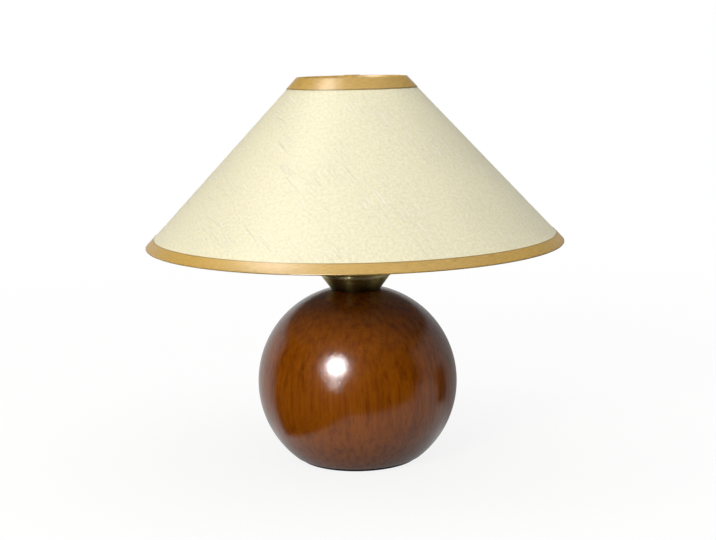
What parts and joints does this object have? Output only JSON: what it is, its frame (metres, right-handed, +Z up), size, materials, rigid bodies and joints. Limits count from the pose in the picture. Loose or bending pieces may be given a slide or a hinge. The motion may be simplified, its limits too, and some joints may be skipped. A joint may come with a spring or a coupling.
{
  "type": "table lamp",
  "caption": "Small table lamp: lacquered wooden ball base with a flat underside, antique brass neck cup and a conical cream shade with gold ribbon trims",
  "frame": {"origin": "on the table under the middle of the base", "axes": "+Z up along the lamp's axis, +Y towards the back, where the cord outlet is"},
  "size_m": [0.2496, 0.2496, 0.2308],
  "materials": {
    "wood": "lacquered, glossy",
    "felt": "felt",
    "steel": "zinc plated",
    "antique_brass": "antique brass, satin",
    "brass": "plain",
    "holder_plastic": "moulded thermoplastic",
    "insert_ceramic": "unglazed steatite",
    "bush_plastic": "moulded",
    "ring_plastic": "moulded thermoplastic",
    "fitter_white": "powder coated white",
    "shade_fabric": "pearly laminated fabric",
    "gold_ribbon": "satin ribbon",
    "bulb_glass": "frosted",
    "clear_glass": "clear",
    "black_glass": "black vitrite glass",
    "nickel": "nickel plated",
    "solder": "solder, dull",
    "tungsten": "tungsten wire"
  },
  "bodies": {
    "base": {"felt_pad": "felt", "wood_ball": "wood", "base_washer": "steel", "base_nut": "steel", "threaded_tube": "steel", "cord_bush": "bush_plastic", "neck_cup": "antique_brass", "lock_nut": "steel", "holder_cap": "holder_plastic", "grub_screw": "steel", "holder_insert": "insert_ceramic", "side_contact": "brass", "terminal_screws": "brass", "holder_shell": "holder_plastic"},
    "centre_contact": {"centre_contact": "brass"},
    "shade_ring": {"shade_ring": "ring_plastic"},
    "shade": {"fitter_ring": "fitter_white", "fitter_arms": "fitter_white", "bottom_wire": "fitter_white", "top_wire": "fitter_white", "shade_cone": "shade_fabric", "bottom_trim": "gold_ribbon", "top_trim": "gold_ribbon"},
    "bulb": {"bulb_contact": "solder", "bulb_insulator": "black_glass", "bulb_cap": "nickel", "bulb_glass": "bulb_glass", "bulb_stem": "clear_glass", "bulb_leads": "nickel", "bulb_filament": "tungsten"}
  },
  "joints": [
    {"name": "shade_turn", "type": "hinge", "parent": "base", "child": "shade", "pos_m": [0, 0, 0.139], "axis": [0, 0, 1], "continuous": true},
    {"name": "shade_ring_unscrew", "type": "slide", "parent": "base", "child": "shade_ring", "axis": [0, 0, 1], "range_m": [0, 0.025]},
    {"name": "bulb_unscrew", "type": "slide", "parent": "base", "child": "bulb", "axis": [0, 0, 1], "range_m": [0, 0.1]},
    {"name": "contact_press", "type": "slide", "parent": "base", "child": "centre_contact", "axis": [0, 0, -1], "range_m": [0, 0.0012], "stiffness_N_per_m": 400, "springref_m": -0.001}
  ]
}
